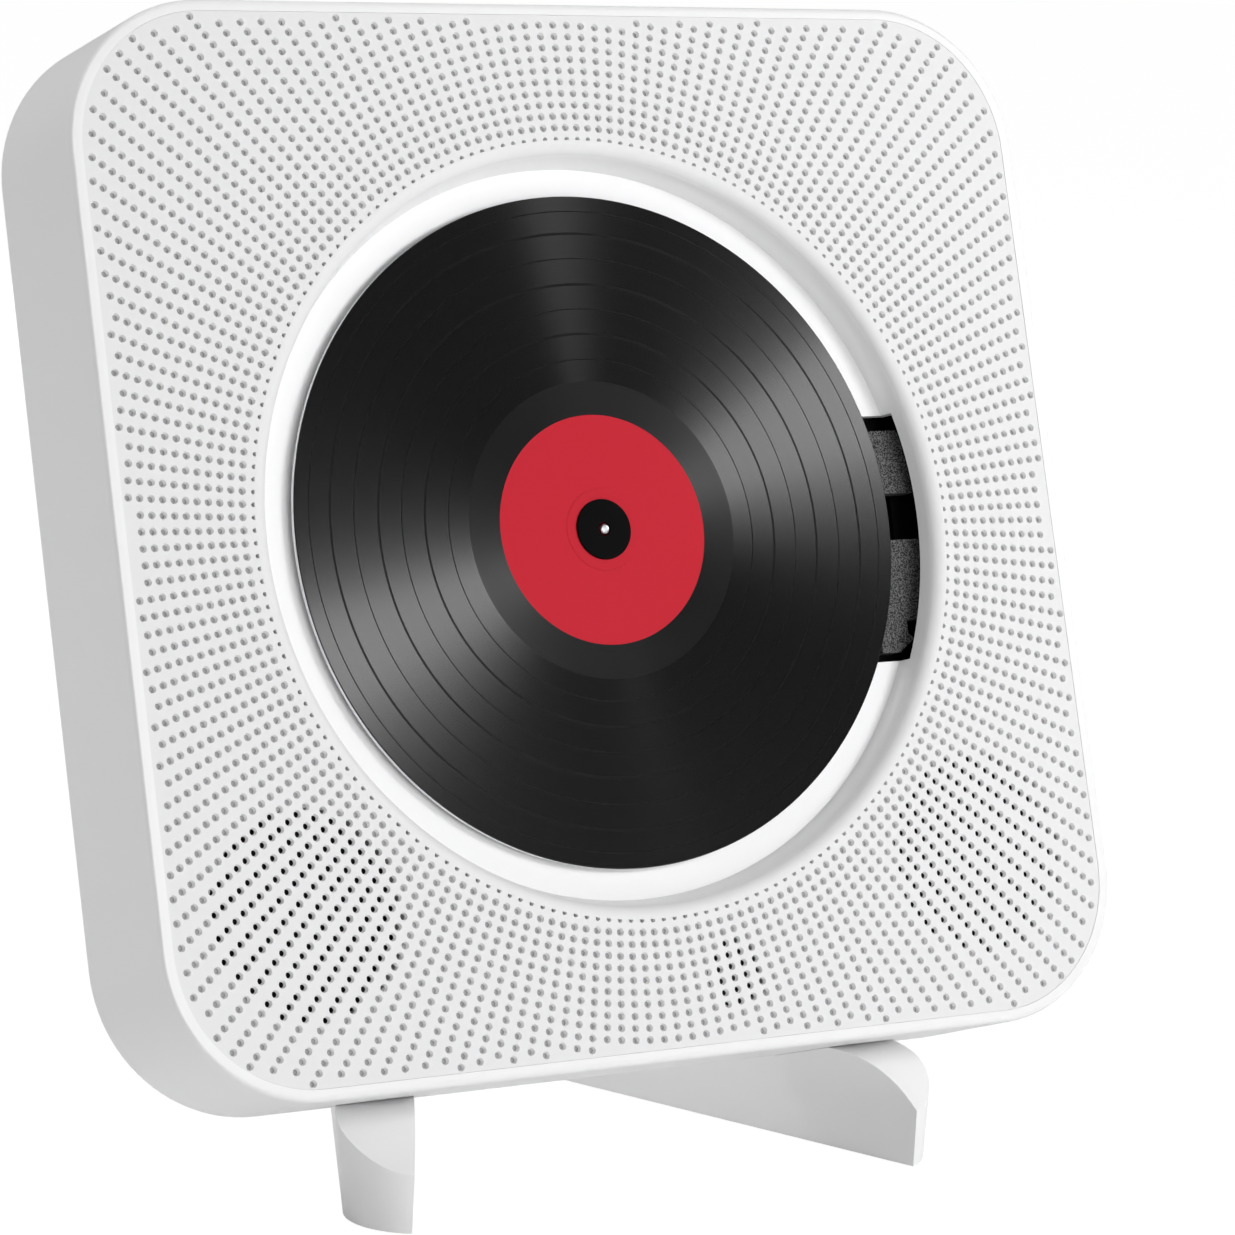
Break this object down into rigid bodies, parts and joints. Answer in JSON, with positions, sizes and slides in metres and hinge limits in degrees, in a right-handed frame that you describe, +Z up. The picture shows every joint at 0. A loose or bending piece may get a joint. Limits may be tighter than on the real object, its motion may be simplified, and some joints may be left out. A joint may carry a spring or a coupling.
{
  "type": "wall-mountable CD player",
  "caption": "Slim square CD player with a front-loading disc well, perforated front, top keys, side sockets and plug-in feet that lean it back; it also hangs on a wall by a keyhole.",
  "frame": {"origin": "centre of the bounding box's footprint, on the ground that the foot pads stand on", "axes": "+X to the right seen from the front, -Y towards the front, +Z up; the body leans back 20 degrees about X, so its face looks along (0, -0.939693, 0.34202)"},
  "size_m": [0.1914, 0.092, 0.2022],
  "materials": {
    "white_plastic": "satin white moulded plastic",
    "black_plastic": "satin black moulded plastic",
    "grey_plate": "fine-textured dark grey plastic",
    "disc_print": "glossy black disc print with concentric grooves",
    "red_plastic": "smooth red plastic",
    "steel": "plated steel",
    "brass": "turned brass",
    "rubber": "soft matt rubber",
    "circuit_board": "green solder mask",
    "paper_cone": "pressed dark paper",
    "lens_glass": "coated clear lens",
    "gear_nylon": "natural nylon"
  },
  "bodies": {
    "player": {"front_shell": "white_plastic", "grille_panel": "white_plastic", "disc_tray": "white_plastic", "rear_cover": "white_plastic", "button_board": "circuit_board", "main_board": "circuit_board", "dc_socket": "black_plastic", "audio_socket": "black_plastic", "usb_socket": "black_plastic", "slider_housing": "black_plastic", "ir_receiver": "black_plastic", "spindle_motor": "steel", "deck_chassis": "black_plastic", "deck_plate_upper": "grey_plate", "deck_plate_lower": "grey_plate", "damper_1": "rubber", "damper_2": "rubber", "damper_3": "rubber", "damper_4": "rubber", "guide_rod_upper": "steel", "guide_rod_lower": "steel", "gear_axle": "steel", "feed_motor": "steel", "left_speaker_frame": "black_plastic", "right_speaker_frame": "black_plastic", "left_speaker_cone": "paper_cone", "right_speaker_cone": "paper_cone", "left_speaker_magnet": "steel", "right_speaker_magnet": "steel", "hanger_plate": "steel", "cover_screw_1": "steel", "cover_screw_2": "steel", "cover_screw_3": "steel", "cover_screw_4": "steel"},
    "spindle": {"spindle_shaft": "steel", "turntable": "red_plastic", "hub_cap": "black_plastic"},
    "disc": {"disc": "disc_print"},
    "pickup": {"pickup_sled": "black_plastic"},
    "lens": {"lens_holder": "black_plastic", "pickup_lens": "lens_glass"},
    "feed_gear": {"feed_gear": "gear_nylon"},
    "motor_pinion": {"motor_pinion": "brass"},
    "left_foot": {"left_foot": "white_plastic", "left_foot_pad": "rubber"},
    "right_foot": {"right_foot": "white_plastic", "right_foot_pad": "rubber"},
    "power_slider": {"power_slider": "black_plastic"},
    "button_power": {"button_power": "white_plastic"},
    "button_source": {"button_source": "white_plastic"},
    "button_previous": {"button_previous": "white_plastic"},
    "button_play": {"button_play": "white_plastic"},
    "button_next": {"button_next": "white_plastic"},
    "button_volume_down": {"button_volume_down": "white_plastic"},
    "button_volume_up": {"button_volume_up": "white_plastic"}
  },
  "joints": [
    {"name": "spindle_spin", "type": "hinge", "parent": "player", "child": "spindle", "pos_m": [0, -0.01017, 0.11273], "axis": [0, 0.9397, -0.342], "continuous": true},
    {"name": "disc_lift", "type": "slide", "parent": "spindle", "child": "disc", "axis": [0, -0.9397, 0.342], "range_m": [0, 0.03]},
    {"name": "sled_feed", "type": "slide", "parent": "player", "child": "pickup", "axis": [1, 0, 0], "range_m": [0, 0.034]},
    {"name": "feed_gear_turn", "type": "hinge", "parent": "player", "child": "feed_gear", "pos_m": [0.0405, -0.00915, 0.08894], "axis": [0, 0.9397, -0.342], "continuous": true},
    {"name": "motor_pinion_turn", "type": "hinge", "parent": "player", "child": "motor_pinion", "pos_m": [0.0405, -0.00733, 0.07551], "axis": [0, 0.9397, -0.342], "continuous": true},
    {"name": "lens_focus", "type": "slide", "parent": "pickup", "child": "lens", "axis": [0, -0.9397, 0.342], "range_m": [-0.0003, 0.0003], "stiffness_N_per_m": 25},
    {"name": "left_foot_pull", "type": "slide", "parent": "player", "child": "left_foot", "axis": [0, -0.342, -0.9397], "range_m": [0, 0.0115]},
    {"name": "right_foot_pull", "type": "slide", "parent": "player", "child": "right_foot", "axis": [0, -0.342, -0.9397], "range_m": [0, 0.0115]},
    {"name": "power_slider_move", "type": "slide", "parent": "player", "child": "power_slider", "axis": [0, 0.342, 0.9397], "range_m": [0, 0.002]},
    {"name": "button_power_press", "type": "slide", "parent": "player", "child": "button_power", "axis": [0, -0.342, -0.9397], "range_m": [0, 0.0006], "stiffness_N_per_m": 800, "springref_m": -0.0004},
    {"name": "button_source_press", "type": "slide", "parent": "player", "child": "button_source", "axis": [0, -0.342, -0.9397], "range_m": [0, 0.0006], "stiffness_N_per_m": 800, "springref_m": -0.0004},
    {"name": "button_previous_press", "type": "slide", "parent": "player", "child": "button_previous", "axis": [0, -0.342, -0.9397], "range_m": [0, 0.0006], "stiffness_N_per_m": 800, "springref_m": -0.0004},
    {"name": "button_play_press", "type": "slide", "parent": "player", "child": "button_play", "axis": [0, -0.342, -0.9397], "range_m": [0, 0.0006], "stiffness_N_per_m": 800, "springref_m": -0.0004},
    {"name": "button_next_press", "type": "slide", "parent": "player", "child": "button_next", "axis": [0, -0.342, -0.9397], "range_m": [0, 0.0006], "stiffness_N_per_m": 800, "springref_m": -0.0004},
    {"name": "button_volume_down_press", "type": "slide", "parent": "player", "child": "button_volume_down", "axis": [0, -0.342, -0.9397], "range_m": [0, 0.0006], "stiffness_N_per_m": 800, "springref_m": -0.0004},
    {"name": "button_volume_up_press", "type": "slide", "parent": "player", "child": "button_volume_up", "axis": [0, -0.342, -0.9397], "range_m": [0, 0.0006], "stiffness_N_per_m": 800, "springref_m": -0.0004}
  ],
  "couplings": [
    {"joint": "feed_gear_turn", "follows": "sled_feed", "rad_per_m": 250},
    {"joint": "motor_pinion_turn", "follows": "sled_feed", "rad_per_m": -687.5}
  ]
}
